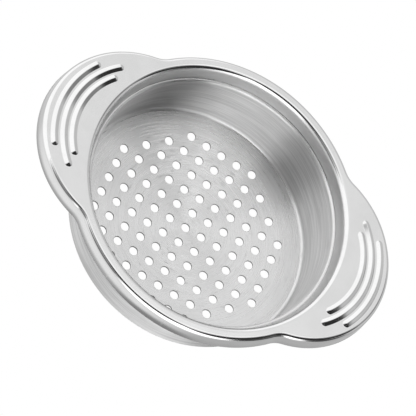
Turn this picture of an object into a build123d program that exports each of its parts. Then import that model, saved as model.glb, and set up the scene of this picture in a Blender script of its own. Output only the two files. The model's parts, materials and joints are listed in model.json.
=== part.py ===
from build123d import *
import math
import os

# Can strainer: a perforated drawn basket, whose flared lip is lapped and spot-welded behind the
# collar of a pressed rim frame, which widens into two ribbed thumb ears. Units are millimetres. +Z is up, +X runs along the
# ears, and the origin is the lowest point of the basket, on its axis.

# Driving dimensions
SHEET = 0.5               # stainless sheet, the same gauge in both pressings
BASKET_RADIUS = 41.9      # inside the basket's straight wall
BASKET_CORNER = 1.5       # inside radius between the wall and the floor
DISH_RADIUS = 290.0       # the floor is a shallow dish, bowed downwards
LEDGE_RISE = 20.8         # floor's edge to the top of the narrow ledge
LEDGE_BEND = 1.0          # radius over the ledge's inner edge
LIP_CORNER = 0.5          # inside radius between the ledge and the lip
LIP_RISE = 3.1            # ledge to the top of the lip
RIM_RISE = 25.7           # floor's edge to the top of the flange
COLLAR_FOOT_RADIUS = 43.0 # the collar is a steep funnel that a can's seam settles into
COLLAR_FOOT_RISE = 0.3    # ledge to the collar's cut foot
COLLAR_SLOPE = 73.0       # degrees that the collar and the lip stand up from the level
LAP_GAP = 0.04            # between the lip and the collar in front of it
DRAW_BEND = 1.9           # radius where the flange turns down into the collar
RING_RADIUS = 47.1        # where the flat flange ends, between the ears
EAR_CENTRE = 29.8         # centre of an ear's outline, from the axis
EAR_RADIUS = 31.35        # where an ear's flat top ends, from that centre
NECK_RADIUS = 11.0        # hollow curve that leads from the round flange out to an ear
EDGE_BEND = 1.5           # radius where the flange and ears turn down into the skirt
SKIRT_DEPTH = 5.0         # flange top to the skirt's cut edge
SKIRT_FLARE = 7.5         # degrees that the skirt leans outwards
HOLE_RADIUS = 1.5
HOLE_PITCH = 6.1          # square grid, in line with the ears
HOLE_REACH = 5            # rows of holes each side of the middle one
HOLE_FIELD = 5.4          # a hole is left out where its centre is this many pitches from the axis
RIB_CENTRE = 26.7         # centre of the ribs' arcs, from the axis
RIB_ARCS = ((25.9, 36.5), (28.9, 44.0), (32.0, 30.5))   # centreline radius, half angle in degrees
RIB_HALF_WIDTH = 1.2
RIB_RISE = 0.62
WELD_COUNT = 12
WELD_RADIUS = 0.9

# Heights above the origin, and radii that follow from the ones above
DISH_CENTRE_Z = SHEET + DISH_RADIUS
FLOOR_EDGE_Z = DISH_CENTRE_Z - math.sqrt(DISH_RADIUS**2 - BASKET_RADIUS**2)
LEDGE_Z = FLOOR_EDGE_Z + LEDGE_RISE
RIM_Z = FLOOR_EDGE_Z + RIM_RISE
LIP_TOP_Z = LEDGE_Z + LIP_RISE
COLLAR_FOOT_Z = LEDGE_Z + COLLAR_FOOT_RISE
STEEP = math.radians(COLLAR_SLOPE)
COLLAR_TOP_Z = RIM_Z - DRAW_BEND * (1 - math.cos(STEEP))
FLANGE_RADIUS = (
    COLLAR_FOOT_RADIUS + (COLLAR_TOP_Z - COLLAR_FOOT_Z) / math.tan(STEEP) + DRAW_BEND * math.sin(STEEP)
)


def upright(angle, centre=(0.0, 0.0)):
    """The vertical plane through a centre, whose x axis points outwards at an angle in degrees."""
    turn = math.radians(angle)
    outward = (math.cos(turn), math.sin(turn), 0)
    across = (math.sin(turn), -math.cos(turn), 0)
    return Plane(origin=(*centre, 0), x_dir=outward, z_dir=across)


def funnel(depth, z):
    """Radius at a height of the collar's face, or of a face a depth of metal behind it."""
    return COLLAR_FOOT_RADIUS + (z - COLLAR_FOOT_Z) / math.tan(STEEP) + depth / math.sin(STEEP)


def spun(section, start=0.0, sweep=360.0, centre=(0.0, 0.0)):
    """A section drawn as (radius, height), turned about the upright line through a centre."""
    face = upright(start, centre) * section
    return revolve(face, axis=Axis((*centre, 0), (0, 0, 1)), revolution_arc=sweep)


# Basket ------------------------------------------------------------------------------------------


def basket_skin(out):
    """The basket's inner surface moved outwards, from the axis to the top of the lip."""
    corner_x = BASKET_RADIUS - BASKET_CORNER
    reach = DISH_RADIUS - BASKET_CORNER
    tilt = math.degrees(math.asin(corner_x / reach))
    corner_z = DISH_CENTRE_Z - math.sqrt(reach**2 - corner_x**2)
    wall = BASKET_RADIUS + out
    bend_x = BASKET_RADIUS + LEDGE_BEND
    bend_z = LEDGE_Z - LEDGE_BEND
    behind = SHEET + LAP_GAP
    lip_x = funnel(behind, LEDGE_Z) - LIP_CORNER * math.tan(STEEP / 2)
    lip_z = LEDGE_Z + LIP_CORNER
    turn = LIP_CORNER + out
    turn_end = (lip_x + turn * math.sin(STEEP), lip_z - turn * math.cos(STEEP))
    return [
        CenterArc((0, DISH_CENTRE_Z), DISH_RADIUS + out, -90, tilt),
        CenterArc((corner_x, corner_z), BASKET_CORNER + out, tilt - 90, 90 - tilt),
        Line((wall, corner_z), (wall, bend_z)),
        CenterArc((bend_x, bend_z), LEDGE_BEND - out, 180, -90),
        Line((bend_x, LEDGE_Z - out), (lip_x, LEDGE_Z - out)),
        CenterArc((lip_x, lip_z), turn, -90, COLLAR_SLOPE),
        Line(turn_end, (funnel(behind + out, LIP_TOP_Z), LIP_TOP_Z)),
    ]


def hole_places():
    """Grid points of the floor's round field of holes, as whole pitches from the axis."""
    steps = range(-HOLE_REACH, HOLE_REACH + 1)
    return [(i, j) for i in steps for j in steps if math.hypot(i, j) < HOLE_FIELD]


def make_basket():
    behind = SHEET + LAP_GAP
    top_edge = Line((funnel(behind, LIP_TOP_Z), LIP_TOP_Z), (funnel(behind + SHEET, LIP_TOP_Z), LIP_TOP_Z))
    middle = Line((0, 0), (0, SHEET))
    shell = spun(make_face(basket_skin(0) + basket_skin(SHEET) + [top_edge, middle]))
    punch = Cylinder(HOLE_RADIUS, 2 * FLOOR_EDGE_Z)
    spots = [Pos(i * HOLE_PITCH, j * HOLE_PITCH, FLOOR_EDGE_Z / 2) for i, j in hole_places()]
    return shell - [spot * punch for spot in spots]


# Rim frame ---------------------------------------------------------------------------------------


def neck_place():
    """Centre of the neck curve on the +X +Y side, and its bearings from the axis and the ear."""
    ring_reach = RING_RADIUS + NECK_RADIUS
    ear_reach = EAR_RADIUS + NECK_RADIUS
    x = (ring_reach**2 - ear_reach**2 + EAR_CENTRE**2) / (2 * EAR_CENTRE)
    y = math.sqrt(ring_reach**2 - x**2)
    from_axis = math.degrees(math.atan2(y, x))
    from_ear = math.degrees(math.atan2(y, x - EAR_CENTRE))
    return (x, y), from_axis, from_ear


def collar_section():
    """Steep collar and the bend at its top, with the start of the flange at the bend's end."""
    bend_z = RIM_Z - DRAW_BEND

    def skin(depth):
        radius = DRAW_BEND - depth
        top = (FLANGE_RADIUS - radius * math.sin(STEEP), bend_z + radius * math.cos(STEEP))
        return [
            Line((funnel(depth, COLLAR_FOOT_Z), COLLAR_FOOT_Z), top),
            CenterArc((FLANGE_RADIUS, bend_z), radius, 90 + COLLAR_SLOPE, -COLLAR_SLOPE),
        ]

    foot = Line((COLLAR_FOOT_RADIUS, COLLAR_FOOT_Z), (funnel(SHEET, COLLAR_FOOT_Z), COLLAR_FOOT_Z))
    end = Line((FLANGE_RADIUS, RIM_Z), (FLANGE_RADIUS, RIM_Z - SHEET))
    return make_face(skin(0) + skin(SHEET) + [foot, end])


def edge_section():
    """Outer bend and skirt, drawn as (distance outside the flat top, height above the origin)."""
    bend_z = RIM_Z - EDGE_BEND
    flare = math.radians(SKIRT_FLARE)
    foot_z = RIM_Z - SKIRT_DEPTH

    def turn_end(radius):
        return radius * math.cos(flare), bend_z + radius * math.sin(flare)

    def foot(radius):
        x, z = turn_end(radius)
        return x + (z - foot_z) * math.tan(flare), foot_z

    def skin(radius):
        turn = CenterArc((0, bend_z), radius, 90, SKIRT_FLARE - 90)
        return [turn, Line(turn_end(radius), foot(radius))]

    inner = EDGE_BEND - SHEET
    start = Line((0, RIM_Z), (0, RIM_Z - SHEET))
    cut = Line(foot(EDGE_BEND), foot(inner))
    return make_face(skin(EDGE_BEND) + skin(inner) + [start, cut])


def half_outline():
    """The flat top's outline from the middle of one ear over the ring to the middle of the other."""
    neck, from_axis, from_ear = neck_place()
    right = [
        CenterArc((EAR_CENTRE, 0), EAR_RADIUS, 0, from_ear),
        CenterArc(neck, NECK_RADIUS, from_ear + 180, from_axis - from_ear),
        CenterArc((0, 0), RING_RADIUS, from_axis, 90 - from_axis),
    ]
    return right + [mirror(arc, about=Plane.YZ) for arc in right]


def make_edge():
    """The bent edge and skirt all the way round: two ring arcs, two ear arcs and four necks."""
    neck, from_axis, from_ear = neck_place()
    section = edge_section()
    ear = spun(Pos(EAR_RADIUS, 0) * section, -from_ear, 2 * from_ear, (EAR_CENTRE, 0))
    ring = spun(Pos(RING_RADIUS, 0) * section, from_axis, 180 - 2 * from_axis)
    inward = Pos(NECK_RADIUS, 0) * mirror(section, about=Plane.YZ)
    curve = spun(inward, from_axis + 180, from_ear - from_axis, neck)
    other_curve = mirror(curve, about=Plane.XZ)
    right = [ear, curve, other_curve]
    left = [mirror(piece, about=Plane.YZ) for piece in right]
    return right + left + [ring, mirror(ring, about=Plane.XZ)]


def rib_form(half_width, rise, base_z, radius, half_angle):
    """A long rounded ridge along an arc of the ear, with a domed end at each end of the arc."""
    ridge_radius = (half_width**2 + rise**2) / (2 * rise)
    spread = math.degrees(math.asin(half_width / ridge_radius))
    crown = CenterArc((0, base_z + rise - ridge_radius), ridge_radius, 90 - spread, 2 * spread)
    whole = make_face([crown, Line((-half_width, base_z), (half_width, base_z))])
    half = whole & Pos(half_width, base_z) * Rectangle(2 * half_width, 4 * rise)
    form = spun(Pos(radius, 0) * whole, -half_angle, 2 * half_angle, (RIB_CENTRE, 0))
    for side in (-1, 1):
        turn = math.radians(side * half_angle)
        end = (RIB_CENTRE + radius * math.cos(turn), radius * math.sin(turn))
        form += spun(half, centre=end)
    return form


def make_ribs(half_width, rise, base_z):
    right = [rib_form(half_width, rise, base_z, radius, angle) for radius, angle in RIB_ARCS]
    return right + [mirror(rib, about=Plane.YZ) for rib in right]


def make_rim_frame():
    upper = half_outline()
    lower = [mirror(arc, about=Plane.XZ) for arc in upper]
    opening = Pos(0, 0, RIM_Z) * Circle(FLANGE_RADIUS)
    flat = extrude(Pos(0, 0, RIM_Z) * make_face(upper + lower) - opening, -SHEET)
    frame = flat + make_edge() + spun(collar_section())
    frame += make_ribs(RIB_HALF_WIDTH, RIB_RISE, RIM_Z)
    hollow_half_width = RIB_HALF_WIDTH - SHEET / 2
    return frame - make_ribs(hollow_half_width, RIB_RISE, RIM_Z - SHEET)


# Spot welds --------------------------------------------------------------------------------------


def make_spot_welds():
    """Fused discs that reach half a sheet into the collar and half a sheet into the lip behind it."""
    front, back = SHEET / 2, SHEET + LAP_GAP + SHEET / 2
    low, high = COLLAR_FOOT_Z, LIP_TOP_Z
    corners = [(funnel(front, low), low), (funnel(back, low), low),
               (funnel(back, high), high), (funnel(front, high), high)]
    lap = spun(make_face(Polyline(*corners, close=True)))
    height = (low + LIP_CORNER + high) / 2
    middle = (funnel((front + back) / 2, height), 0, height)
    across = Plane(origin=middle, x_dir=(0, 1, 0), z_dir=(math.sin(STEEP), 0, -math.cos(STEEP)))
    rod = extrude(across * Circle(WELD_RADIUS), 2 * SHEET, both=True)
    first_turn = 180 / WELD_COUNT
    return [Rot(0, 0, first_turn + n * 360 / WELD_COUNT) * rod & lap for n in range(WELD_COUNT)]


spot_welds = make_spot_welds()
nodes = {
    "basket": make_basket() - spot_welds,
    "rim_frame": make_rim_frame() - spot_welds,
    "spot_welds": Compound(children=spot_welds),
}
os.makedirs("parts", exist_ok=True)
for name, shape in nodes.items():
    shape.label = name
    export_step(shape, f"parts/{name}.step")
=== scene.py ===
import json
import math

import bpy
import bmesh
from mathutils import Matrix, Vector

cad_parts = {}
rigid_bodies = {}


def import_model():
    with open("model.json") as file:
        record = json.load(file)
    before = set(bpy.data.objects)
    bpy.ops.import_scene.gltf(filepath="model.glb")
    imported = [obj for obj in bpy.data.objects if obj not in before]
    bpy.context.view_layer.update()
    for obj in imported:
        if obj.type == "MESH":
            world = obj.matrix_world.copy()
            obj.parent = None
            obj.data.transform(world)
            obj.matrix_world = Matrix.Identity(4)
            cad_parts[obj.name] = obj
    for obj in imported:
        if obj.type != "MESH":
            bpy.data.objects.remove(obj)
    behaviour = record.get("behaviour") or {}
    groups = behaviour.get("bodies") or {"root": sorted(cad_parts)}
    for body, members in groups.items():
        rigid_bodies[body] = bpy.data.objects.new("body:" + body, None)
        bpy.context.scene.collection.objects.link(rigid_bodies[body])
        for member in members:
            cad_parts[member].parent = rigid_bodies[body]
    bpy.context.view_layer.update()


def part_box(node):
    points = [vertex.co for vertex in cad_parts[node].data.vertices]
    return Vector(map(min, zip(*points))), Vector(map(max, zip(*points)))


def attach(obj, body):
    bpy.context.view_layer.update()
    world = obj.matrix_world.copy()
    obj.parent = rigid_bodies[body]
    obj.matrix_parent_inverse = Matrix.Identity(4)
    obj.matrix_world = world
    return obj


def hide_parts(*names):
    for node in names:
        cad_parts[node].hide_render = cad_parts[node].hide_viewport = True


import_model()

MM = 0.001

# ---------------------------------------------------------------------------------------------
# The basket. One drawn stainless cup: a shallow dished floor punched with a square grid of drain
# holes, a straight wall, a narrow ledge and a steep lip that is spot-welded behind the collar of the
# rim frame. It is spun against a brush after drawing, so every line on it runs round.
# ---------------------------------------------------------------------------------------------
SHEET = 0.5 * MM
CUT_EDGE = 0.09 * MM             # tumbled rounding of every cut edge
SUPPORT = 0.06 * MM              # narrow flat beside a bend, which keeps the sheet next to it flat
basket_low, basket_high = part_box("basket")
BASKET_RADIUS = 41.9 * MM        # inside the straight wall
BASKET_CORNER = 1.5 * MM
DISH_RADIUS = 290.0 * MM         # the floor's shallow sphere, on the sheet's upper face
DISH_CENTRE = basket_low.z + SHEET + DISH_RADIUS
LIP_TOP = basket_high.z
LIP_RISE = 3.1 * MM
LEDGE = LIP_TOP - LIP_RISE
LEDGE_BEND = 1.0 * MM
LIP_CORNER = 0.5 * MM
COLLAR_SLOPE = 73.0              # degrees that the lip and the collar stand up from the level
COLLAR_FOOT = LEDGE + 0.3 * MM   # the frame's collar ends just above the ledge
COLLAR_FOOT_RADIUS = 43.0 * MM
LAP_GAP = 0.04 * MM              # air left between the welded sheets
LIP_DEPTH = SHEET + LAP_GAP      # from the collar's face back to the face of the lip behind it
HOLE_RADIUS = 1.5 * MM
HOLE_PITCH = 6.1 * MM
HOLE_REACH = 5                   # rows of holes on each side of the middle one
HOLE_FIELD = 5.4 * HOLE_PITCH    # the grid is cut off by this circle
PUNCH_ROLL = 0.2 * MM            # the punch rolls the sheet over on the side it comes in from
ROUND_STEPS = 256                # points round the axis, and round a hole
HOLE_STEPS = 32
BEND_STEPS = 9                   # pieces that each kind of bend is divided into
LIP_BEND_STEPS = 7
ROLL_STEPS = 4
CUT_STEPS = 3
SAME_POINT = 0.001 * MM          # corners closer than this are one corner
SAME_LEVEL = 0.01 * MM


def on_circle(centre, radius, degrees):
    """The point of a circle at a bearing."""
    turn = math.radians(degrees)
    return centre[0] + radius * math.cos(turn), centre[1] + radius * math.sin(turn)


def bend(centre, radius, start, end, steps):
    """Points along an arc in a section, from one bearing to another in degrees, both included."""
    return [on_circle(centre, radius, start + (end - start) * n / steps) for n in range(steps + 1)]


def polyline(name, points, outward=None, closed=False):
    """A helper object: points joined by edges, and at an outline's points the direction outwards."""
    mesh = bpy.data.meshes.new(name)
    edges = [(n, n + 1) for n in range(len(points) - 1)]
    if closed:
        edges.append((len(points) - 1, 0))
    mesh.from_pydata([(*p, 0.0) for p in points], edges, [])
    if outward:
        facing = mesh.attributes.new("outward", "FLOAT_VECTOR", "POINT")
        for place, (x, y) in zip(facing.data, outward):
            place.vector = (x, y, 0.0)
    helper = bpy.data.objects.new(name, mesh)
    bpy.context.scene.collection.objects.link(helper)
    return helper


def round_outline(name, steps):
    """An outline with no size of its own, so that a section's distances are radii."""
    middle = (0.0, 0.0)
    facing = [on_circle(middle, 1.0, 360 * n / steps) for n in range(steps)]
    return polyline(name, [middle] * steps, facing, closed=True)


def add(tree, kind, inputs=None, **settings):
    """A node, with its settings made and its sockets filled: a socket is linked, a value is set."""
    made = tree.nodes.new(kind)
    for name, value in settings.items():
        setattr(made, name, value)
    for name, value in (inputs or {}).items():
        socket = made.inputs[name]
        if isinstance(value, bpy.types.NodeSocket):
            tree.links.new(value, socket)
        else:
            socket.default_value = value
    return made


def maths(tree, operation, first, second=0.0):
    """The result of a sum with two numbers, or with one."""
    return add(tree, "ShaderNodeMath", {0: first, 1: second}, operation=operation).outputs[0]


def vector_maths(tree, operation, first, second=(0.0, 0.0, 0.0)):
    """The result of a sum with vectors, which is a number for a length or a dot product."""
    made = add(tree, "ShaderNodeVectorMath", {0: first}, operation=operation)
    target = made.inputs["Scale"] if operation == "SCALE" else made.inputs[1]
    if isinstance(second, bpy.types.NodeSocket):
        tree.links.new(second, target)
    else:
        target.default_value = second
    return made.outputs["Value" if operation in ("LENGTH", "DOT_PRODUCT") else "Vector"]


def new_tree(name, sockets):
    """An empty Geometry Nodes tree with named inputs that puts out a mesh, and its two end nodes."""
    tree = bpy.data.node_groups.new(name, "GeometryNodeTree")
    for label, kind in sockets:
        tree.interface.new_socket(label, in_out="INPUT", socket_type=kind)
    tree.interface.new_socket("Geometry", in_out="OUTPUT", socket_type="NodeSocketGeometry")
    start = tree.nodes.new("NodeGroupInput")
    end = tree.nodes.new("NodeGroupOutput")
    return tree, start, end


def carried_section_tree():
    """Sheet made by carrying a section (distance out, height) round a closed outline.

    It is a grid with one column for each point of the outline and one row for each of the section.
    The last column comes back to the first, and the two are merged.
    """
    tree, start, end = new_tree(
        "carried section", (("Outline", "NodeSocketGeometry"), ("Section", "NodeSocketGeometry"))
    )
    outline, section = start.outputs["Outline"], start.outputs["Section"]
    around = add(tree, "GeometryNodeAttributeDomainSize", {0: outline}).outputs["Point Count"]
    along = add(tree, "GeometryNodeAttributeDomainSize", {0: section}).outputs["Point Count"]
    columns = maths(tree, "ADD", around, 1.0)
    grid = add(tree, "GeometryNodeMeshGrid", {"Vertices X": columns, "Vertices Y": along})
    index = add(tree, "GeometryNodeInputIndex").outputs[0]
    # Half a step is added so that the division never falls just short of a whole column.
    column = maths(tree, "FLOOR", maths(tree, "DIVIDE", maths(tree, "ADD", index, 0.5), along))
    row = maths(tree, "SUBTRACT", index, maths(tree, "MULTIPLY", column, along))
    wrapped = maths(tree, "FLOORED_MODULO", column, around)
    position = add(tree, "GeometryNodeInputPosition").outputs[0]
    facing = add(tree, "GeometryNodeInputNamedAttribute", {"Name": "outward"}, data_type="FLOAT_VECTOR")

    def sampled(geometry, value, at):
        node = add(tree, "GeometryNodeSampleIndex", {"Geometry": geometry, "Index": at},
                   data_type="FLOAT_VECTOR")
        tree.links.new(value, node.inputs["Value"])
        return node.outputs["Value"]

    place = sampled(outline, position, wrapped)
    out = sampled(outline, facing.outputs["Attribute"], wrapped)
    step = add(tree, "ShaderNodeSeparateXYZ", {0: sampled(section, position, row)})
    height = add(tree, "ShaderNodeCombineXYZ", {"Z": step.outputs["Y"]}).outputs[0]
    moved = vector_maths(tree, "ADD", place, vector_maths(tree, "SCALE", out, step.outputs["X"]))
    shaped = add(tree, "GeometryNodeSetPosition",
                 {"Geometry": grid.outputs["Mesh"], "Position": vector_maths(tree, "ADD", moved, height)})
    closed = add(tree, "GeometryNodeMergeByDistance",
                 {"Geometry": shaped.outputs[0], "Distance": SAME_POINT})
    tree.links.new(closed.outputs[0], end.inputs[0])
    return tree


def flat_sheet_tree():
    """Flat sheet filled in between the open edges, of one face or none, that lie at one level."""
    tree, start, end = new_tree(
        "flat sheet", (("Mesh", "NodeSocketGeometry"), ("Level", "NodeSocketFloat"))
    )
    level = start.outputs["Level"]
    faces = add(tree, "GeometryNodeInputMeshEdgeNeighbors").outputs["Face Count"]
    is_open = maths(tree, "LESS_THAN", faces, 1.5)
    position = add(tree, "GeometryNodeInputPosition").outputs[0]
    height = add(tree, "ShaderNodeSeparateXYZ", {0: position}).outputs["Z"]
    gap = maths(tree, "ABSOLUTE", maths(tree, "SUBTRACT", height, level))
    at_level = maths(tree, "LESS_THAN", gap, SAME_LEVEL)
    both = add(tree, "FunctionNodeBooleanMath", {0: is_open, 1: at_level}, operation="AND")
    loops = add(tree, "GeometryNodeMeshToCurve",
                {"Mesh": start.outputs["Mesh"], "Selection": both.outputs[0]})
    filled = add(tree, "GeometryNodeFillCurve", {"Curve": loops.outputs[0]})
    lift = add(tree, "ShaderNodeCombineXYZ", {"Z": level}).outputs[0]
    placed = add(tree, "GeometryNodeTransform", {"Geometry": filled.outputs[0], "Translation": lift})
    tree.links.new(placed.outputs[0], end.inputs[0])
    return tree


carried_section = carried_section_tree()
flat_sheet = flat_sheet_tree()


def carry(tree, outline, section):
    """A carried section placed in a tree."""
    made = add(tree, "GeometryNodeGroup", node_tree=carried_section)
    tree.links.new(outline, made.inputs["Outline"])
    tree.links.new(section, made.inputs["Section"])
    return made.outputs[0]


def fill_level(tree, mesh, level):
    """A flat sheet placed in a tree at one level of a mesh."""
    made = add(tree, "GeometryNodeGroup", node_tree=flat_sheet)
    tree.links.new(mesh, made.inputs["Mesh"])
    if isinstance(level, bpy.types.NodeSocket):
        tree.links.new(level, made.inputs["Level"])
    else:
        made.inputs["Level"].default_value = level
    return made.outputs[0]


def joined(tree, *parts):
    """Meshes put together as one."""
    made = add(tree, "GeometryNodeJoinGeometry")
    for part in reversed(parts):
        tree.links.new(part, made.inputs[0])
    return made.outputs[0]


def from_object(tree, socket):
    """The mesh of a helper object that a tree is given."""
    made = add(tree, "GeometryNodeObjectInfo", {"Object": socket}, transform_space="ORIGINAL")
    return made.outputs["Geometry"]


def finish_tree(tree, end, geometry, material):
    """Every tree ends the same way: seams merged, instances made real, the material set."""
    merged = add(tree, "GeometryNodeMergeByDistance",
                 {"Geometry": geometry, "Distance": 2 * SAME_POINT})
    real = add(tree, "GeometryNodeRealizeInstances", {"Geometry": merged.outputs[0]})
    dressed = add(tree, "GeometryNodeSetMaterial", {"Geometry": real.outputs[0], "Material": material})
    tree.links.new(dressed.outputs[0], end.inputs[0])


def grown(name, tree, values):
    """A plain mesh grown by a tree from its named inputs, with its faces turned outwards."""
    seed = bpy.data.objects.new(name + "_seed", bpy.data.meshes.new(name + "_seed"))
    bpy.context.scene.collection.objects.link(seed)
    modifier = seed.modifiers.new("grow", "NODES")
    modifier.node_group = tree
    for item in tree.interface.items_tree:
        if item.in_out == "INPUT" and item.name in values:
            modifier[item.identifier] = values[item.name]
    bpy.context.view_layer.update()
    evaluated = seed.evaluated_get(bpy.context.evaluated_depsgraph_get())
    mesh = bpy.data.meshes.new_from_object(evaluated)
    seed.modifiers.remove(modifier)
    bpy.data.objects.remove(seed)
    mesh.name = name
    shell = bmesh.new()
    shell.from_mesh(mesh)
    bmesh.ops.remove_doubles(shell, verts=shell.verts, dist=SAME_POINT)
    bmesh.ops.recalc_face_normals(shell, faces=shell.faces)
    for face in shell.faces:
        face.smooth = True
    shell.to_mesh(mesh)
    shell.free()
    piece = bpy.data.objects.new(name, mesh)
    bpy.context.scene.collection.objects.link(piece)
    return piece


def funnel(depth, z):
    """Radius at a height of the collar's face, or of a face a depth of metal behind it."""
    steep = math.radians(COLLAR_SLOPE)
    return COLLAR_FOOT_RADIUS + (z - COLLAR_FOOT) / math.tan(steep) + depth / math.sin(steep)


def wall_section():
    """The basket's sheet from the floor's edge up over the ledge to the cut edge, and down outside.

    The second value is the radius at which it starts, where the floor has to meet it.
    """
    corner_x = BASKET_RADIUS - BASKET_CORNER
    reach = DISH_RADIUS - BASKET_CORNER
    tilt = math.degrees(math.asin(corner_x / reach))
    corner = (corner_x, DISH_CENTRE - math.sqrt(reach**2 - corner_x**2))
    ledge_bend = (BASKET_RADIUS + LEDGE_BEND, LEDGE - LEDGE_BEND)
    tangent = LIP_CORNER * math.tan(math.radians(COLLAR_SLOPE / 2))
    lip_corner = (funnel(LIP_DEPTH, LEDGE) - tangent, LEDGE + LIP_CORNER)
    dish = (0.0, DISH_CENTRE)
    margin = tilt - math.degrees(SUPPORT / DISH_RADIUS)

    def skin(out):
        return (
            bend(dish, DISH_RADIUS + out, margin - 90, tilt - 90, 1)
            + bend(corner, BASKET_CORNER + out, tilt - 90, 0, BEND_STEPS)[1:]
            + bend(ledge_bend, LEDGE_BEND - out, 180, 90, BEND_STEPS)
            + bend(lip_corner, LIP_CORNER + out, -90, COLLAR_SLOPE - 90, LIP_BEND_STEPS)
        )

    top = LIP_TOP - CUT_EDGE
    near = (funnel(LIP_DEPTH + CUT_EDGE, top), top)
    far = (funnel(LIP_DEPTH + SHEET - CUT_EDGE, top), top)
    lip = (
        bend(near, CUT_EDGE, COLLAR_SLOPE + 90, 90, CUT_STEPS)
        + bend(far, CUT_EDGE, 90, COLLAR_SLOPE - 90, CUT_STEPS)
    )
    floor_edge = DISH_RADIUS * math.sin(math.radians(margin))
    return skin(0.0) + lip + skin(SHEET)[::-1], floor_edge


def punch_section():
    """A punched hole's edge through flat sheet, rounded where the punch goes in and comes out."""
    entry = (HOLE_RADIUS + PUNCH_ROLL, -PUNCH_ROLL)
    leave = (HOLE_RADIUS + CUT_EDGE, CUT_EDGE - SHEET)
    outer = HOLE_RADIUS + PUNCH_ROLL + SUPPORT
    return (
        [(outer, 0.0)] + bend(entry, PUNCH_ROLL, 90, 180, ROLL_STEPS)
        + bend(leave, CUT_EDGE, 180, 270, CUT_STEPS) + [(outer, -SHEET)]
    )


def basket_tree():
    """The wall, and a floor of filled sheet between its edge and a grid of punched holes."""
    tree, start, end = new_tree("perforated basket", (
        ("Wall Outline", "NodeSocketObject"), ("Wall Section", "NodeSocketObject"),
        ("Hole Outline", "NodeSocketObject"), ("Hole Section", "NodeSocketObject"),
        ("Hole Pitch", "NodeSocketFloat"), ("Hole Reach", "NodeSocketInt"),
        ("Hole Field", "NodeSocketFloat"), ("Floor Edge", "NodeSocketFloat"),
        ("Sheet", "NodeSocketFloat"), ("Dish Radius", "NodeSocketFloat"),
        ("Dish Centre", "NodeSocketFloat"), ("Floor Steps", "NodeSocketInt"),
        ("Material", "NodeSocketMaterial"),
    ))
    value = start.outputs
    wall = carry(tree, from_object(tree, value["Wall Outline"]), from_object(tree, value["Wall Section"]))
    hole = carry(tree, from_object(tree, value["Hole Outline"]), from_object(tree, value["Hole Section"]))
    rows = maths(tree, "ADD", maths(tree, "MULTIPLY", value["Hole Reach"], 2.0), 1.0)
    span = maths(tree, "MULTIPLY", maths(tree, "SUBTRACT", rows, 1.0), value["Hole Pitch"])
    grid = add(tree, "GeometryNodeMeshGrid",
               {"Size X": span, "Size Y": span, "Vertices X": rows, "Vertices Y": rows})
    position = add(tree, "GeometryNodeInputPosition").outputs[0]
    from_axis = vector_maths(tree, "LENGTH", position)
    inside = maths(tree, "LESS_THAN", from_axis, value["Hole Field"])
    holes = add(tree, "GeometryNodeInstanceOnPoints",
                {"Points": grid.outputs["Mesh"], "Selection": inside, "Instance": hole})
    punched = add(tree, "GeometryNodeRealizeInstances", {"Geometry": holes.outputs[0]}).outputs[0]

    rim = add(tree, "GeometryNodeMeshCircle",
              {"Vertices": value["Floor Steps"], "Radius": value["Floor Edge"]}).outputs[0]
    under = maths(tree, "MULTIPLY", value["Sheet"], -1.0)
    drop = add(tree, "ShaderNodeCombineXYZ", {"Z": under}).outputs[0]
    lower_rim = add(tree, "GeometryNodeTransform", {"Geometry": rim, "Translation": drop}).outputs[0]
    upper = fill_level(tree, joined(tree, punched, rim), 0.0)
    lower = fill_level(tree, joined(tree, punched, lower_rim), under)
    blank = joined(tree, punched, upper, lower)

    # The flat blank is bowed on to two concentric spheres, so its thickness stays even.
    place = add(tree, "ShaderNodeSeparateXYZ", {0: position})
    across = vector_maths(tree, "MULTIPLY", position, (1.0, 1.0, 0.0))
    reach = vector_maths(tree, "LENGTH", across)
    radius = value["Dish Radius"]
    rise = maths(tree, "SQRT", maths(tree, "SUBTRACT", maths(tree, "POWER", radius, 2.0),
                                     maths(tree, "POWER", reach, 2.0)))
    down = add(tree, "ShaderNodeCombineXYZ", {"Z": maths(tree, "MULTIPLY", rise, -1.0)}).outputs[0]
    from_centre = vector_maths(tree, "ADD", across, down)
    swell = maths(tree, "DIVIDE", maths(tree, "SUBTRACT", radius, place.outputs["Z"]), radius)
    centre = add(tree, "ShaderNodeCombineXYZ", {"Z": value["Dish Centre"]}).outputs[0]
    bowed = vector_maths(tree, "ADD", centre, vector_maths(tree, "SCALE", from_centre, swell))
    floor = add(tree, "GeometryNodeSetPosition", {"Geometry": blank, "Position": bowed}).outputs[0]
    finish_tree(tree, end, joined(tree, wall, floor), value["Material"])
    return tree


def shade(tree, kind, inputs=None, **settings):
    """A shading node's first output."""
    return add(tree, kind, inputs, **settings).outputs[0]


def remap(tree, value, low, high, to_low=0.0, to_high=1.0):
    """A value carried smoothly from one range to another, and held at its ends."""
    return shade(tree, "ShaderNodeMapRange", {
        "Value": value, "From Min": low, "From Max": high, "To Min": to_low, "To Max": to_high,
    }, interpolation_type="SMOOTHSTEP")


def noise(tree, vector, scale, detail, roughness=0.5):
    """Uneven cloudy values from 0 to 1."""
    return shade(tree, "ShaderNodeTexNoise", {
        "Vector": vector, "Scale": scale, "Detail": detail, "Roughness": roughness,
    })


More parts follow.
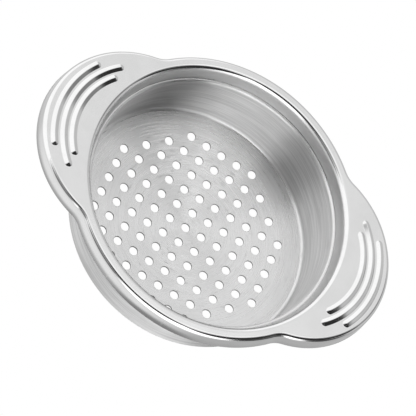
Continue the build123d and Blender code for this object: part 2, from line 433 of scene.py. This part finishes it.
def turned_grain_group():
    """Lines left by a brush held against a spinning part: fine grain, deeper streaks, dull bands."""
    tree = bpy.data.node_groups.new("turned grain", "ShaderNodeTree")
    for label, value in (("Lines per mm", 4.0), ("Streak Length", 1.0), ("Band Width mm", 2.0)):
        socket = tree.interface.new_socket(label, in_out="INPUT", socket_type="NodeSocketFloat")
        socket.default_value = value
    for label in ("Grain", "Streaks", "Bands"):
        tree.interface.new_socket(label, in_out="OUTPUT", socket_type="NodeSocketFloat")
    start, end = tree.nodes.new("NodeGroupInput"), tree.nodes.new("NodeGroupOutput")
    position = add(tree, "ShaderNodeTexCoord").outputs["Object"]
    place = add(tree, "ShaderNodeSeparateXYZ", {0: position}).outputs
    across = vector_maths(tree, "MULTIPLY", position, (1.0, 1.0, 0.0))
    radius = vector_maths(tree, "LENGTH", across)
    round_axis = vector_maths(tree, "NORMALIZE", across)
    profile = maths(tree, "MULTIPLY", maths(tree, "ADD", radius, place["Z"]), 1000.0)

    def lines(per_mm, length, detail):
        along = vector_maths(tree, "SCALE", round_axis, maths(tree, "DIVIDE", 1.0, length))
        step = shade(tree, "ShaderNodeCombineXYZ", {"Z": maths(tree, "MULTIPLY", profile, per_mm)})
        return noise(tree, vector_maths(tree, "ADD", along, step), 1.0, detail, 0.6)

    # The streaks lie wider apart than the grain and are shorter, and the bands run furthest round.
    fine = start.outputs["Lines per mm"]
    length = start.outputs["Streak Length"]
    grain = lines(fine, length, 3.0)
    sparse = lines(maths(tree, "MULTIPLY", fine, 0.45), maths(tree, "MULTIPLY", length, 0.35), 2.0)
    bands = lines(maths(tree, "DIVIDE", 1.0, start.outputs["Band Width mm"]),
                  maths(tree, "MULTIPLY", length, 1.6), 1.0)
    tree.links.new(remap(tree, grain, 0.25, 0.75), end.inputs["Grain"])
    tree.links.new(remap(tree, sparse, 0.6, 0.78), end.inputs["Streaks"])
    tree.links.new(remap(tree, bands, 0.3, 0.7), end.inputs["Bands"])
    return tree


def handling_group():
    """What use leaves on steel: hairline scratches in several directions, and dull smears."""
    tree = bpy.data.node_groups.new("handling marks", "ShaderNodeTree")
    for label, value in (("Scratches per mm", 1.2), ("Smear Size mm", 14.0)):
        socket = tree.interface.new_socket(label, in_out="INPUT", socket_type="NodeSocketFloat")
        socket.default_value = value
    for label in ("Scratches", "Smears", "Swell"):
        tree.interface.new_socket(label, in_out="OUTPUT", socket_type="NodeSocketFloat")
    start, end = tree.nodes.new("NodeGroupInput"), tree.nodes.new("NodeGroupOutput")
    position = add(tree, "ShaderNodeTexCoord").outputs["Object"]
    in_mm = vector_maths(tree, "SCALE", position, 1000.0)
    scratches = None
    for turn in (0.35, 1.3, 2.5):
        turned = shade(tree, "ShaderNodeVectorRotate", {"Vector": in_mm, "Angle": turn})
        bent = vector_maths(tree, "MULTIPLY", turned, (0.06, 1.0, 0.12))
        mask = remap(tree, noise(tree, bent, start.outputs["Scratches per mm"], 1.0), 0.7, 0.78)
        scratches = mask if scratches is None else maths(tree, "MAXIMUM", scratches, mask)
    smear_scale = maths(tree, "DIVIDE", 1.0, start.outputs["Smear Size mm"])
    smears = noise(tree, in_mm, smear_scale, 3.0, 0.6)
    swell = noise(tree, vector_maths(tree, "ADD", in_mm, (70.0, 0.0, 0.0)), smear_scale, 0.0)
    tree.links.new(scratches, end.inputs["Scratches"])
    tree.links.new(remap(tree, smears, 0.35, 0.7), end.inputs["Smears"])
    tree.links.new(swell, end.inputs["Swell"])
    return tree


def upright_group():
    """Masks of metal that stands upright: all of it, and only what is within a reach of the axis."""
    tree = bpy.data.node_groups.new("upright metal", "ShaderNodeTree")
    tree.interface.new_socket("Reach", in_out="INPUT", socket_type="NodeSocketFloat")
    for label in ("Upright", "Upright Within"):
        tree.interface.new_socket(label, in_out="OUTPUT", socket_type="NodeSocketFloat")
    start, end = tree.nodes.new("NodeGroupInput"), tree.nodes.new("NodeGroupOutput")
    normal = add(tree, "ShaderNodeNewGeometry").outputs["Normal"]
    upward = maths(tree, "ABSOLUTE", add(tree, "ShaderNodeSeparateXYZ", {0: normal}).outputs["Z"])
    position = add(tree, "ShaderNodeTexCoord").outputs["Object"]
    radius = vector_maths(tree, "LENGTH", vector_maths(tree, "MULTIPLY", position, (1.0, 1.0, 0.0)))
    # Metal steeper than 60 degrees is fully upright, and metal under 26 degrees isn't at all.
    upright = remap(tree, upward, 0.5, 0.9, 1.0, 0.0)
    within = maths(tree, "LESS_THAN", radius, start.outputs["Reach"])
    tree.links.new(upright, end.inputs["Upright"])
    tree.links.new(maths(tree, "MULTIPLY", upright, within), end.inputs["Upright Within"])
    return tree


turned_grain = turned_grain_group()
handling = handling_group()
upright_metal = upright_group()


def placed_group(tree, group, **values):
    """A group placed in a material with its own values, and its outputs."""
    made = add(tree, "ShaderNodeGroup", node_tree=group)
    for name, value in values.items():
        made.inputs[name.replace("_", " ")].default_value = value
    return made.outputs


def blend(tree, mask, first, second):
    """One colour turned into another by a mask."""
    mix = add(tree, "ShaderNodeMix", {0: mask}, data_type="RGBA")
    mix.inputs[6].default_value = (*first, 1.0)
    mix.inputs[7].default_value = (*second, 1.0)
    return mix.outputs[2]


def total(tree, base, *weighted):
    """A base value plus masks, each by its own weight."""
    result = base
    for mask, weight in weighted:
        result = shade(tree, "ShaderNodeMath", {0: mask, 1: weight, 2: result}, operation="MULTIPLY_ADD")
    return result


def new_metal(name, **constants):
    """A metal whose constants stand on the shader itself."""
    material = bpy.data.materials.new(name)
    material.use_nodes = True
    shader = material.node_tree.nodes["Principled BSDF"]
    shader.inputs["Metallic"].default_value = 1.0
    for label, value in constants.items():
        shader.inputs[label.replace("_", " ")].default_value = value
    return material, material.node_tree, shader


def relief(tree, shader, height, distance):
    """Marks raised on a surface, by a real height."""
    bump = add(tree, "ShaderNodeBump", {"Height": height, "Distance": distance, "Strength": 1.0})
    tree.links.new(bump.outputs["Normal"], shader.inputs["Normal"])


def spun_steel():
    """Drawn stainless dulled by a brush while it turns: light rubs out across the lines.

    The floor is smoother than the wall. The punched holes' sheared walls are rougher, and are painted
    dark as painted shade inside the holes.
    """
    valley, crest, hole_wall_painted_shade = (0.60, 0.60, 0.60), (0.76, 0.76, 0.76), (0.22, 0.22, 0.22, 1.0)
    line_height = 0.006 * MM
    material, tree, shader = new_metal("spun_steel", Anisotropic=0.93, Anisotropic_Rotation=0.25)
    turned = placed_group(tree, turned_grain, Lines_per_mm=2.4, Streak_Length=0.5, Band_Width_mm=1.6)
    marks = placed_group(tree, handling, Scratches_per_mm=0.9, Smear_Size_mm=11.0)
    stand = placed_group(tree, upright_metal, Reach=HOLE_FIELD + HOLE_PITCH / 2)
    upright, sheared_and_shaded = stand["Upright"], stand["Upright Within"]
    rubbed = total(tree, -0.6, (turned["Grain"], 0.9), (turned["Bands"], 0.3))
    on_wall = maths(tree, "MULTIPLY", upright, rubbed)
    lines = total(tree, 0.1, (turned["Grain"], 0.5), (turned["Streaks"], -0.5), (turned["Bands"], 0.2),
                  (on_wall, 1.0))
    # Upright metal near the axis is the holes' sheared walls. The dark grey set on them is painted shade,
    # standing in for the shade inside the holes; only their extra roughness belongs to the sheared steel.
    colour = add(tree, "ShaderNodeMix", {0: sheared_and_shaded, 6: blend(tree, lines, valley, crest)},
                 data_type="RGBA")
    colour.inputs[7].default_value = hole_wall_painted_shade
    rough = total(tree, 0.22, (upright, 0.12), (turned["Grain"], 0.1), (turned["Streaks"], 0.12),
                  (marks["Smears"], 0.04), (sheared_and_shaded, 0.1))
    height = total(tree, 0.0, (turned["Grain"], 1.0), (turned["Streaks"], -1.2),
                   (marks["Scratches"], -0.6))
    tangent = shade(tree, "ShaderNodeTangent", direction_type="RADIAL", axis="Z")
    tree.links.new(tangent, shader.inputs["Tangent"])
    tree.links.new(colour.outputs[2], shader.inputs["Base Color"])
    tree.links.new(rough, shader.inputs["Roughness"])
    relief(tree, shader, height, line_height)
    return material


wall_points, floor_edge = wall_section()
basket_helpers = {
    "Wall Outline": round_outline("wall_outline", ROUND_STEPS),
    "Wall Section": polyline("wall_section", wall_points),
    "Hole Outline": round_outline("hole_outline", HOLE_STEPS),
    "Hole Section": polyline("hole_section", punch_section()),
}
basket_steel = spun_steel()
basket = grown("drawn_basket", basket_tree(), {
    **basket_helpers, "Hole Pitch": HOLE_PITCH, "Hole Reach": HOLE_REACH, "Hole Field": HOLE_FIELD,
    "Floor Edge": floor_edge, "Sheet": SHEET, "Dish Radius": DISH_RADIUS, "Dish Centre": DISH_CENTRE,
    "Floor Steps": ROUND_STEPS, "Material": basket_steel,
})
for helper in basket_helpers.values():
    bpy.data.objects.remove(helper)
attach(basket, "root")
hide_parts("basket")

# ---------------------------------------------------------------------------------------------
# The rim frame. One stainless pressing of the same gauge: a steep collar inside the basket's lip, a
# flat flange that widens into two ears, three hollow thumb ribs on each ear, and an edge rolled down
# into a short flared skirt all the way round. It is polished after pressing.
# ---------------------------------------------------------------------------------------------
frame_low, frame_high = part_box("rim_frame")
RIB_RISE = 0.62 * MM
RIM = frame_high.z - RIB_RISE    # the flange's upper face
DRAW_BEND = 1.9 * MM             # from the flange down into the collar
COLLAR_REACH = COLLAR_FOOT_RADIUS + 1.5 * MM     # the collar and its bend lie within this radius
RING_RADIUS = 47.1 * MM          # where the flange ends between the ears, and its bend begins
EAR_CENTRE = 29.8 * MM
EAR_RADIUS = 31.35 * MM
NECK_RADIUS = 11.0 * MM          # the hollow curve between the ring and an ear
EDGE_BEND = 1.5 * MM             # from the flange down into the skirt
SKIRT_FLARE = 7.5                # degrees that the skirt leans outwards
SKIRT_FOOT = frame_low.z
RIB_CENTRE = 26.7 * MM
RIB_ARCS = (("Inner", 25.9, 36.5), ("Middle", 28.9, 44.0), ("Outer", 32.0, 30.5))  # radius mm, half angle
RIB_HALF_WIDTH = 1.35 * MM
RIB_FOOT = 0.5 * MM              # hollow radius where a rib rises from the flat
RIB_CROWN = 0.35 * MM
SHARP_BEND = 0.02 * MM           # the crown's radius inside the rib, where little is left of it
EAR_STEPS = 96                   # points along each stretch of the outlines
NECK_STEPS = 10
RING_STEPS = 84
RIB_STEPS = 56
RIB_END_STEPS = 16
DRAW_STEPS = 14                  # pieces of each bend's outer face; its inner face has two fewer
EDGE_STEPS = 12
RIB_FOOT_STEPS = 6
RIB_CROWN_STEPS = 7


def outline_arc(centre, radius, start, end, steps, side=1):
    """Points and outward directions along one arc, without its end. side is -1 on a hollow curve."""
    bearings = [start + (end - start) * n / steps for n in range(steps)]
    facing = [on_circle((0.0, 0.0), side, degrees) for degrees in bearings]
    return [on_circle(centre, radius, degrees) for degrees in bearings], facing


def frame_outline():
    """Where the flat flange ends: two ears, four hollow necks and the ring between them."""
    ring_reach = RING_RADIUS + NECK_RADIUS
    ear_reach = EAR_RADIUS + NECK_RADIUS
    x = (ring_reach**2 - ear_reach**2 + EAR_CENTRE**2) / (2 * EAR_CENTRE)
    y = math.sqrt(ring_reach**2 - x**2)
    ring_turn = math.degrees(math.atan2(y, x))
    ear_turn = math.degrees(math.atan2(y, x - EAR_CENTRE))
    ear, neck = (EAR_CENTRE, 0.0), (x, y)
    arcs = [
        outline_arc(ear, EAR_RADIUS, -ear_turn, ear_turn, EAR_STEPS),
        outline_arc(neck, NECK_RADIUS, ear_turn + 180, ring_turn + 180, NECK_STEPS, side=-1),
        outline_arc((0.0, 0.0), RING_RADIUS, ring_turn, 180 - ring_turn, RING_STEPS),
        outline_arc((-x, y), NECK_RADIUS, -ring_turn, -ear_turn, NECK_STEPS, side=-1),
    ]
    points = [p for arc in arcs for p in arc[0]]
    outward = [o for arc in arcs for o in arc[1]]
    points += [(-px, -py) for px, py in points]
    outward += [(-ox, -oy) for ox, oy in outward]
    return polyline("frame_outline", points, outward, closed=True)


def rib_outline(name, side, radius, half_angle):
    """A rib's spine gone round once: out along its outer side, round one end and back inside."""
    centre = (side * RIB_CENTRE, 0.0)
    middle = 0 if side > 0 else 180
    start, end = middle - half_angle, middle + half_angle
    first, last = on_circle(centre, radius, start), on_circle(centre, radius, end)
    arcs = [
        outline_arc(centre, radius, start, end, RIB_STEPS),
        outline_arc(last, 0.0, end, end + 180, RIB_END_STEPS),
        outline_arc(centre, radius, end, start, RIB_STEPS, side=-1),
        outline_arc(first, 0.0, start + 180, start + 360, RIB_END_STEPS),
    ]
    points = [p for arc in arcs for p in arc[0]]
    return polyline(name, points, [o for arc in arcs for o in arc[1]], closed=True)


def collar_section():
    """Flange, draw bend and steep collar down to its cut foot, and back up behind."""
    steep = math.radians(COLLAR_SLOPE)
    top = RIM - DRAW_BEND * (1 - math.cos(steep))
    turn = (funnel(0.0, top) + DRAW_BEND * math.sin(steep), RIM - DRAW_BEND)
    flat = turn[0] + SUPPORT
    low = COLLAR_FOOT + CUT_EDGE
    near, far = (funnel(CUT_EDGE, low), low), (funnel(SHEET - CUT_EDGE, low), low)
    return (
        [(flat, RIM)] + bend(turn, DRAW_BEND, 90, COLLAR_SLOPE + 90, DRAW_STEPS)
        + bend(near, CUT_EDGE, COLLAR_SLOPE + 90, 270, CUT_STEPS)
        + bend(far, CUT_EDGE, 270, COLLAR_SLOPE + 270, CUT_STEPS)
        + bend(turn, DRAW_BEND - SHEET, COLLAR_SLOPE + 90, 90, DRAW_STEPS - 2)
        + [(flat, RIM - SHEET)]
    )


def skirt_section():
    """Flange, rolled edge and flared skirt down to its cut foot, and back up inside."""
    turn = (0.0, RIM - EDGE_BEND)
    flare = math.radians(SKIRT_FLARE)

    def foot(radius):
        x, z = radius * math.cos(flare), turn[1] + radius * math.sin(flare)
        low = SKIRT_FOOT + CUT_EDGE
        return x + (z - low) * math.tan(flare), low

    outside, inside = foot(EDGE_BEND - CUT_EDGE), foot(EDGE_BEND - SHEET + CUT_EDGE)
    return (
        [(-SUPPORT, RIM)] + bend(turn, EDGE_BEND, 90, SKIRT_FLARE, EDGE_STEPS)
        + bend(outside, CUT_EDGE, SKIRT_FLARE, -90, CUT_STEPS)
        + bend(inside, CUT_EDGE, -90, SKIRT_FLARE - 180, CUT_STEPS)
        + bend(turn, EDGE_BEND - SHEET, SKIRT_FLARE, 90, EDGE_STEPS - 2)
        + [(-SUPPORT, RIM - SHEET)]
    )


def rib_section(depth):
    """Half a rib from the flat up a straight flank to its crown, on the sheet or a depth inside it."""
    across, rounds = RIB_HALF_WIDTH, RIB_FOOT + RIB_CROWN
    drop = rounds - RIB_RISE
    slope = math.degrees(math.asin(rounds / math.hypot(across, drop)) - math.atan2(drop, across))
    foot = (across, RIM + RIB_FOOT)
    crown = (0.0, RIM + RIB_RISE - RIB_CROWN)
    return (
        [(across + SUPPORT, RIM - depth)]
        + bend(foot, RIB_FOOT + depth, 270, 270 - slope, RIB_FOOT_STEPS)
        + bend(crown, max(RIB_CROWN - depth, SHARP_BEND), 90 - slope, 90, RIB_CROWN_STEPS)
    )


def frame_tree(rib_names):
    """Collar, skirt and ribs carried round their outlines, with flat sheet filled in between."""
    names = ["Collar Outline", "Collar Section", "Edge Outline", "Edge Section", "Rib Top", "Rib Hollow"]
    sockets = [(name, "NodeSocketObject") for name in names + rib_names]
    sockets += [("Rim Height", "NodeSocketFloat"), ("Sheet", "NodeSocketFloat"),
                ("Material", "NodeSocketMaterial")]
    tree, start, end = new_tree("ribbed rim frame", sockets)
    value = start.outputs
    shape = {name: from_object(tree, value[name]) for name in names + rib_names}
    collar = carry(tree, shape["Collar Outline"], shape["Collar Section"])
    skirt = carry(tree, shape["Edge Outline"], shape["Edge Section"])
    tops = [carry(tree, shape[name], shape["Rib Top"]) for name in rib_names]
    hollows = [carry(tree, shape[name], shape["Rib Hollow"]) for name in rib_names]
    pressed = joined(tree, collar, skirt, *tops, *hollows)
    level = value["Rim Height"]
    upper = fill_level(tree, pressed, level)
    lower = fill_level(tree, pressed, maths(tree, "SUBTRACT", level, value["Sheet"]))
    finish_tree(tree, end, joined(tree, pressed, upper, lower), value["Material"])
    return tree


def polished_steel():
    """The same steel buffed after pressing, close to a mirror; the collar keeps its turned grain."""
    buffed, smeared = (0.69, 0.69, 0.69), (0.66, 0.66, 0.66)
    scratch_height = 0.003 * MM
    material, tree, shader = new_metal("polished_steel")
    marks = placed_group(tree, handling, Scratches_per_mm=1.3, Smear_Size_mm=9.0)
    turned = placed_group(tree, turned_grain, Lines_per_mm=3.0, Streak_Length=0.4, Band_Width_mm=1.2)
    stand = placed_group(tree, upright_metal, Reach=COLLAR_REACH)
    brushed = stand["Upright Within"]
    grain = maths(tree, "MULTIPLY", brushed, turned["Grain"])
    rough = total(tree, 0.1, (marks["Smears"], 0.04), (marks["Scratches"], 0.1), (brushed, 0.22),
                  (grain, 0.1))
    height = total(tree, 0.0, (marks["Swell"], 2.5), (marks["Scratches"], -0.3), (grain, 1.2))
    tree.links.new(blend(tree, marks["Smears"], buffed, smeared), shader.inputs["Base Color"])
    tree.links.new(rough, shader.inputs["Roughness"])
    relief(tree, shader, height, scratch_height)
    return material


frame_helpers = {
    "Collar Outline": round_outline("collar_outline", ROUND_STEPS),
    "Collar Section": polyline("collar_section", collar_section()),
    "Edge Outline": frame_outline(),
    "Edge Section": polyline("edge_section", skirt_section()),
    "Rib Top": polyline("rib_top", rib_section(0.0)),
    "Rib Hollow": polyline("rib_hollow", rib_section(SHEET)),
}
rib_names = []
for side, ear in ((1, "Right"), (-1, "Left")):
    for row, radius, half_angle in RIB_ARCS:
        rib_name = f"{ear} {row} Rib"
        rib_names.append(rib_name)
        frame_helpers[rib_name] = rib_outline(rib_name, side, radius * MM, half_angle)
frame_steel = polished_steel()
rim_frame = grown("pressed_rim_frame", frame_tree(rib_names), {
    **frame_helpers, "Rim Height": RIM, "Sheet": SHEET, "Material": frame_steel,
})
for helper in frame_helpers.values():
    bpy.data.objects.remove(helper)
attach(rim_frame, "root")
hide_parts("rim_frame")

# ---------------------------------------------------------------------------------------------
# The spot welds. Twelve small nuggets of melted steel that hold the basket's lip behind the frame's
# collar, each buried in the lap of the two sheets.
# ---------------------------------------------------------------------------------------------
def weld_steel():
    """Steel melted and set again in the lap: dull, grainy and a little darker than the sheet."""
    bare, scaled = (0.56, 0.55, 0.54), (0.42, 0.40, 0.38)
    grain_height = 0.02 * MM
    material, tree, shader = new_metal("weld_steel")
    marks = placed_group(tree, handling, Scratches_per_mm=2.0, Smear_Size_mm=1.2)
    rough = total(tree, 0.34, (marks["Smears"], 0.16))
    tree.links.new(blend(tree, marks["Smears"], bare, scaled), shader.inputs["Base Color"])
    tree.links.new(rough, shader.inputs["Roughness"])
    relief(tree, shader, marks["Smears"], grain_height)
    return material


nugget_steel = weld_steel()
for nugget in bpy.data.objects:
    if nugget.type == "MESH" and nugget.name.startswith("spot_welds"):
        nugget.data.materials.clear()
        nugget.data.materials.append(nugget_steel)

# ---------------------------------------------------------------------------------------------
# The studio. The camera, a pale floor that shows from above only and casts nothing on the steel, and
# a room of soft light and shade all round, which is what the steel has to reflect.
# ---------------------------------------------------------------------------------------------
VIEW_AZIMUTH = -108.599          # degrees from +X to the side that the camera stands on
VIEW_ELEVATION = 56.306
VIEW_ROLL = 47.754               # degrees that the camera leans to its left about its line of sight
VIEW_DISTANCE = 581.3 * MM
AIM = Vector((0.83, 2.00, 14.93)) * MM           # half way up, beside the axis
FLOOR_REACH = 3000.0 * MM


def direction(azimuth, elevation):
    """The direction of a place seen from the object, in degrees."""
    turn, lift = math.radians(azimuth), math.radians(elevation)
    return Vector((math.cos(turn) * math.cos(lift), math.sin(turn) * math.cos(lift), math.sin(lift)))


camera_data = bpy.data.cameras.new("camera")
camera_data.lens = 155.89
camera_data.sensor_width = 36.0
camera_data.clip_start = 0.01
camera_data.clip_end = 20.0
camera = bpy.data.objects.new("camera", camera_data)
bpy.context.scene.collection.objects.link(camera)
backward = direction(VIEW_AZIMUTH, VIEW_ELEVATION)
level_right = Vector((0.0, 0.0, 1.0)).cross(backward).normalized()
right = Matrix.Rotation(math.radians(VIEW_ROLL), 3, backward) @ level_right
stance = Matrix((right, backward.cross(right), backward)).transposed()
camera.matrix_world = Matrix.Translation(AIM + VIEW_DISTANCE * backward) @ stance.to_4x4()
bpy.context.scene.camera = camera

floor_mesh = bpy.data.meshes.new("plain_floor")
corners = [(x * FLOOR_REACH, y * FLOOR_REACH, 0.0) for x, y in ((-1, -1), (1, -1), (1, 1), (-1, 1))]
floor_mesh.from_pydata(corners, [], [(0, 1, 2, 3)])
floor = bpy.data.objects.new("plain_floor", floor_mesh)
bpy.context.scene.collection.objects.link(floor)
pale = bpy.data.materials.new("pale_floor")
pale.use_nodes = True
paint = pale.node_tree
paint.nodes.clear()
glow = shade(paint, "ShaderNodeEmission", {"Color": (1.0, 1.0, 1.0, 1.0), "Strength": 1.0})
clear = shade(paint, "ShaderNodeBsdfTransparent")
underneath = add(paint, "ShaderNodeNewGeometry").outputs["Backfacing"]
one_sided = shade(paint, "ShaderNodeMixShader", {0: underneath, 1: glow, 2: clear})
add(paint, "ShaderNodeOutputMaterial", {"Surface": one_sided})
floor_mesh.materials.append(pale)
floor.visible_glossy = False
floor.visible_diffuse = False
floor.visible_transmission = False
floor.visible_shadow = False

# Each soft card has its middle (azimuth and elevation in degrees), the angles from there between
# which it fades out, and its brightness. A later card lies over the earlier ones.
ROOM_BRIGHTNESS = 0.95
CARDS = (
    (60, 15, 35, 60, 0.72),      # grey wall behind
    (150, 35, 45, 65, 1.4),      # wide lamp at the back left
    (-20, -5, 20, 40, 0.72),     # grey wall to the right
    (-130, -38, 22, 40, 1.08),   # pale table at the front left
    (-5, -45, 25, 50, 0.58),     # grey table to the right
    (110, -35, 30, 50, 0.75),    # grey table behind
    (-80, -88, 31, 40, 0.5),     # shade straight below
    (-75, -69, 13, 22, 0.3),     # deeper shade below the front
    (76, 58, 16, 28, 1.02),      # high panel behind, in which the flat flange looks pale
    (-130, 42, 14, 24, 0.25),    # dark screen at the front left
    (-71, 25, 30, 42, 2.15),     # strong lamp in front
    (-20, 12, 13, 23, 0.1),      # black screen to the right, low
    (-150, 74, 8, 16, 0.3),      # small dark screen overhead, to the left
    (-82, 71, 16, 20, 0.03),     # black screen overhead, to the front
    (32, 34, 7, 15, 0.3),        # small dark screen at the back right
    (14, 56, 9, 17, 0.2),        # small dark screen to the right, high
    (-22, 47, 18, 22, 0.03),     # black screen to the right, half way up
    (4, 38, 10, 14, 0.03),       # small black screen beside it
    (52, 71, 9, 16, 1.35),       # small lamp overhead
)
world = bpy.data.worlds.new("studio")
bpy.context.scene.world = world
world.use_nodes = True
room = world.node_tree
room.nodes.clear()
facing = add(room, "ShaderNodeTexCoord").outputs["Generated"]
brightness = ROOM_BRIGHTNESS
for azimuth, elevation, inner, outer, card in CARDS:
    nearness = vector_maths(room, "DOT_PRODUCT", facing, direction(azimuth, elevation))
    inside = remap(room, nearness, math.cos(math.radians(outer)), math.cos(math.radians(inner)))
    mix = add(room, "ShaderNodeMix", {0: inside, 2: brightness, 3: card}, data_type="FLOAT")
    brightness = mix.outputs[0]
seen = add(room, "ShaderNodeLightPath").outputs["Is Camera Ray"]
backdrop = add(room, "ShaderNodeMix", {0: seen, 2: brightness, 3: 1.0}, data_type="FLOAT")
light = shade(room, "ShaderNodeBackground",
              {"Color": (1.0, 1.0, 1.0, 1.0), "Strength": backdrop.outputs[0]})
add(room, "ShaderNodeOutputWorld", {"Surface": light})
bpy.context.scene.view_settings.view_transform = "Standard"
